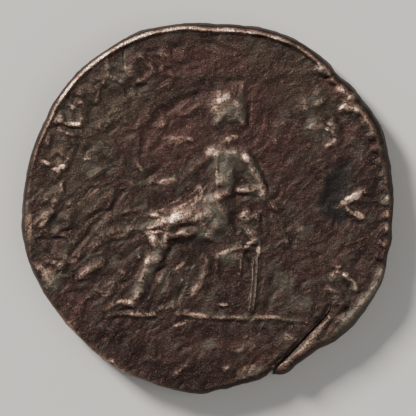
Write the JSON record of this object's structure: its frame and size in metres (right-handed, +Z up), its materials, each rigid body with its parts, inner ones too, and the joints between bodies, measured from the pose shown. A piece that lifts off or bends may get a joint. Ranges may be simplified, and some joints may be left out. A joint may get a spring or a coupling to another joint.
{
  "type": "denarius coin",
  "caption": "Worn hand-struck silver coin with a seated figure in low relief, a dotted border and a flan crack at the edge.",
  "frame": {"origin": "middle of the underside, on the plane that the worn portrait side rests on", "axes": "+Z up through the coin's thickness, out of the side with the seated figure; +Y is that figure's up, +X its right as seen from above"},
  "size_m": [0.018, 0.018, 0.0017],
  "materials": {
    "toned_silver": "dark reddish brown toning over worn silver, bright on the high points"
  },
  "bodies": {
    "root": {"denarius": "toned_silver"}
  },
  "joints": []
}
